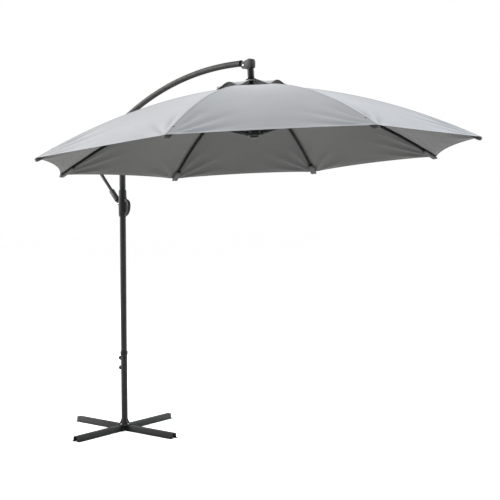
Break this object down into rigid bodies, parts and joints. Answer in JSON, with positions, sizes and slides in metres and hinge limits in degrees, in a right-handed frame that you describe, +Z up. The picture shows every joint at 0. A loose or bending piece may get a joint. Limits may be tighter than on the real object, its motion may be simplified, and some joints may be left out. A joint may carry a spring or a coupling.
{
  "type": "cantilever parasol",
  "caption": "Round cantilever parasol: bowed side arm on a mast with a sliding winch housing, folding ribs under a fabric canopy with a vent cap, and a folded steel cross base.",
  "frame": {"origin": "on the ground, under the mast's axis", "axes": "+X from the mast towards the canopy, +Z up, +Y to complete a right-handed frame"},
  "size_m": [3.5166, 2.8764, 2.7822],
  "materials": {
    "painted_steel": "satin",
    "black_plastic": "matte",
    "zinc_steel": "satin",
    "canopy_fabric": "matte"
  },
  "bodies": {
    "base": {"base_beam_long": "painted_steel", "base_beam_cross": "painted_steel", "base_post": "painted_steel", "base_bolt_1": "zinc_steel", "base_bolt_2": "zinc_steel", "base_bolt_3": "zinc_steel", "base_bolt_4": "zinc_steel", "post_collar": "black_plastic"},
    "knob_upper": {"clamp_knob_upper": "black_plastic"},
    "knob_lower": {"clamp_knob_lower": "black_plastic"},
    "mast": {"mast_tube": "painted_steel", "mast_head": "black_plastic", "mast_head_pin": "zinc_steel"},
    "slider": {"slider_shell_front": "black_plastic", "slider_shell_back": "black_plastic", "slider_grip": "black_plastic", "winch_cover": "black_plastic", "strut_foot_pin": "zinc_steel"},
    "trigger": {"lock_trigger": "black_plastic", "lock_pin": "zinc_steel"},
    "crank": {"winch_drum": "zinc_steel", "crank_arm": "painted_steel"},
    "crank_grip": {"crank_knob": "black_plastic"},
    "strut": {"strut_tube": "painted_steel", "strut_sleeve": "black_plastic", "strut_head": "black_plastic"},
    "arm": {"arm_tube": "painted_steel", "arm_saddle": "black_plastic", "arm_tail_fork": "black_plastic", "arm_tail_pin": "zinc_steel", "arm_end_tongue": "black_plastic", "elbow_pin": "zinc_steel"},
    "pulley": {"elbow_pulley": "black_plastic"},
    "hanger": {"hanger_elbow": "black_plastic", "hanger_collar": "black_plastic", "hanger_stem": "painted_steel", "rib_hub": "black_plastic", "crown_ring": "black_plastic", "canopy_cover": "canopy_fabric", "vent_cap": "canopy_fabric"},
    "runner": {"runner_hub": "black_plastic", "runner_cap": "black_plastic"},
    "rib_1_body": {"rib_1": "painted_steel"},
    "stretcher_1_body": {"stretcher_1": "painted_steel"},
    "rib_2_body": {"rib_2": "painted_steel"},
    "stretcher_2_body": {"stretcher_2": "painted_steel"},
    "rib_3_body": {"rib_3": "painted_steel"},
    "stretcher_3_body": {"stretcher_3": "painted_steel"},
    "rib_4_body": {"rib_4": "painted_steel"},
    "stretcher_4_body": {"stretcher_4": "painted_steel"},
    "rib_5_body": {"rib_5": "painted_steel"},
    "stretcher_5_body": {"stretcher_5": "painted_steel"},
    "rib_6_body": {"rib_6": "painted_steel"},
    "stretcher_6_body": {"stretcher_6": "painted_steel"},
    "rib_7_body": {"rib_7": "painted_steel"},
    "stretcher_7_body": {"stretcher_7": "painted_steel"},
    "rib_8_body": {"rib_8": "painted_steel"},
    "stretcher_8_body": {"stretcher_8": "painted_steel"}
  },
  "joints": [
    {"name": "mast_turn", "type": "hinge", "parent": "base", "child": "mast", "pos_m": [0, 0, 0.6], "axis": [0, 0, 1], "continuous": true},
    {"name": "clamp_knob_upper_turn", "type": "hinge", "parent": "base", "child": "knob_upper", "pos_m": [-0.045, 0, 0.57], "axis": [-1, 0, 0], "continuous": true},
    {"name": "clamp_knob_lower_turn", "type": "hinge", "parent": "base", "child": "knob_lower", "pos_m": [-0.045, 0, 0.492], "axis": [-1, 0, 0], "continuous": true},
    {"name": "arm_tilt", "type": "hinge", "parent": "mast", "child": "arm", "pos_m": [0, 0, 2.405], "axis": [0, -1, 0], "range_deg": [-12, 5]},
    {"name": "slider_travel", "type": "slide", "parent": "mast", "child": "slider", "axis": [0, 0, 1], "range_m": [-0.06, 0.142]},
    {"name": "strut_swing", "type": "hinge", "parent": "slider", "child": "strut", "pos_m": [-0.04, 0, 1.806], "axis": [0, 1, 0], "range_deg": [-6.5, 2.7]},
    {"name": "trigger_squeeze", "type": "slide", "parent": "slider", "child": "trigger", "axis": [1, 0, 0], "range_m": [0, 0.008], "stiffness_N_per_m": 600, "springref_m": -0.002},
    {"name": "crank_turn", "type": "hinge", "parent": "slider", "child": "crank", "pos_m": [0, 0.04, 1.768], "axis": [0, 1, 0], "range_deg": [0, 2858]},
    {"name": "crank_grip_spin", "type": "hinge", "parent": "crank", "child": "crank_grip", "pos_m": [-0.085, 0.08, 1.768], "axis": [0, 1, 0], "continuous": true},
    {"name": "canopy_swing", "type": "hinge", "parent": "arm", "child": "hanger", "pos_m": [1.45202, 0, 2.74195], "axis": [0, -1, 0], "range_deg": [-5, 12]},
    {"name": "elbow_pulley_spin", "type": "hinge", "parent": "arm", "child": "pulley", "pos_m": [1.45202, 0, 2.74195], "axis": [0, 1, 0], "range_deg": [0, 3953]},
    {"name": "canopy_fold", "type": "hinge", "parent": "hanger", "child": "rib_1_body", "pos_m": [1.50049, -0.04794, 2.57757], "axis": [0.956, -0.284, 0.0731], "range_deg": [0, 68], "deforming": ["canopy_cover", "vent_cap"]},
    {"name": "rib_2_fold", "type": "hinge", "parent": "hanger", "child": "rib_2_body", "pos_m": [1.53843, -0.04394, 2.58047], "axis": [0.8763, 0.4772, 0.067], "range_deg": [0, 68]},
    {"name": "rib_3_fold", "type": "hinge", "parent": "hanger", "child": "rib_3_body", "pos_m": [1.56245, -0.0142, 2.5823], "axis": [0.2832, 0.9588, 0.0216], "range_deg": [0, 68]},
    {"name": "rib_4_fold", "type": "hinge", "parent": "hanger", "child": "rib_4_body", "pos_m": [1.55846, 0.02386, 2.582], "axis": [-0.4758, 0.8788, -0.0364], "range_deg": [0, 68]},
    {"name": "rib_5_fold", "type": "hinge", "parent": "hanger", "child": "rib_5_body", "pos_m": [1.5288, 0.04794, 2.57973], "axis": [-0.956, 0.284, -0.0731], "range_deg": [0, 68]},
    {"name": "rib_6_fold", "type": "hinge", "parent": "hanger", "child": "rib_6_body", "pos_m": [1.49086, 0.04394, 2.57683], "axis": [-0.8763, -0.4772, -0.067], "range_deg": [0, 68]},
    {"name": "rib_7_fold", "type": "hinge", "parent": "hanger", "child": "rib_7_body", "pos_m": [1.46684, 0.0142, 2.575], "axis": [-0.2832, -0.9588, -0.0216], "range_deg": [0, 68]},
    {"name": "rib_8_fold", "type": "hinge", "parent": "hanger", "child": "rib_8_body", "pos_m": [1.47083, -0.02386, 2.5753], "axis": [0.4758, -0.8788, 0.0364], "range_deg": [0, 68]},
    {"name": "stretcher_1_fold", "type": "hinge", "parent": "rib_1_body", "child": "stretcher_1_body", "pos_m": [1.34328, -0.61364, 2.4356], "axis": [-0.956, 0.284, -0.0731], "range_deg": [0, 134]},
    {"name": "stretcher_2_fold", "type": "hinge", "parent": "rib_2_body", "child": "stretcher_2_body", "pos_m": [1.82901, -0.56244, 2.47272], "axis": [-0.8763, -0.4772, -0.067], "range_deg": [0, 134]},
    {"name": "stretcher_3_fold", "type": "hinge", "parent": "rib_3_body", "child": "stretcher_3_body", "pos_m": [2.13638, -0.18177, 2.49621], "axis": [-0.2832, -0.9588, -0.0216], "range_deg": [0, 134]},
    {"name": "stretcher_4_fold", "type": "hinge", "parent": "rib_4_body", "child": "stretcher_4_body", "pos_m": [2.08533, 0.30538, 2.49231], "axis": [0.4758, -0.8788, 0.0364], "range_deg": [0, 134]},
    {"name": "stretcher_5_fold", "type": "hinge", "parent": "rib_5_body", "child": "stretcher_5_body", "pos_m": [1.70576, 0.61364, 2.4633], "axis": [0.956, -0.284, 0.0731], "range_deg": [0, 134]},
    {"name": "stretcher_6_fold", "type": "hinge", "parent": "rib_6_body", "child": "stretcher_6_body", "pos_m": [1.22002, 0.56244, 2.42618], "axis": [0.8763, 0.4772, 0.067], "range_deg": [0, 134]},
    {"name": "stretcher_7_fold", "type": "hinge", "parent": "rib_7_body", "child": "stretcher_7_body", "pos_m": [0.91266, 0.18177, 2.4027], "axis": [0.2832, 0.9588, 0.0216], "range_deg": [0, 134]},
    {"name": "stretcher_8_fold", "type": "hinge", "parent": "rib_8_body", "child": "stretcher_8_body", "pos_m": [0.96371, -0.30538, 2.4066], "axis": [-0.4758, 0.8788, -0.0364], "range_deg": [0, 134]},
    {"name": "runner_travel", "type": "slide", "parent": "hanger", "child": "runner", "axis": [0.0762, 0, -0.9971], "range_m": [0, 0.9]}
  ],
  "couplings": [
    {"joint": "slider_travel", "follows": "arm_tilt", "m_per_rad": -0.674},
    {"joint": "strut_swing", "follows": "arm_tilt", "ratio": 0.5215},
    {"joint": "crank_turn", "follows": "canopy_fold", "ratio": 42},
    {"joint": "elbow_pulley_spin", "follows": "canopy_fold", "ratio": 58.1},
    {"joint": "rib_2_fold", "follows": "canopy_fold", "ratio": 1},
    {"joint": "rib_3_fold", "follows": "canopy_fold", "ratio": 1},
    {"joint": "rib_4_fold", "follows": "canopy_fold", "ratio": 1},
    {"joint": "rib_5_fold", "follows": "canopy_fold", "ratio": 1},
    {"joint": "rib_6_fold", "follows": "canopy_fold", "ratio": 1},
    {"joint": "rib_7_fold", "follows": "canopy_fold", "ratio": 1},
    {"joint": "rib_8_fold", "follows": "canopy_fold", "ratio": 1},
    {"joint": "stretcher_1_fold", "follows": "canopy_fold", "ratio": 1.9441},
    {"joint": "stretcher_2_fold", "follows": "canopy_fold", "ratio": 1.9441},
    {"joint": "stretcher_3_fold", "follows": "canopy_fold", "ratio": 1.9441},
    {"joint": "stretcher_4_fold", "follows": "canopy_fold", "ratio": 1.9441},
    {"joint": "stretcher_5_fold", "follows": "canopy_fold", "ratio": 1.9441},
    {"joint": "stretcher_6_fold", "follows": "canopy_fold", "ratio": 1.9441},
    {"joint": "stretcher_7_fold", "follows": "canopy_fold", "ratio": 1.9441},
    {"joint": "stretcher_8_fold", "follows": "canopy_fold", "ratio": 1.9441},
    {"joint": "runner_travel", "follows": "canopy_fold", "m_per_rad": 0.7557}
  ]
}
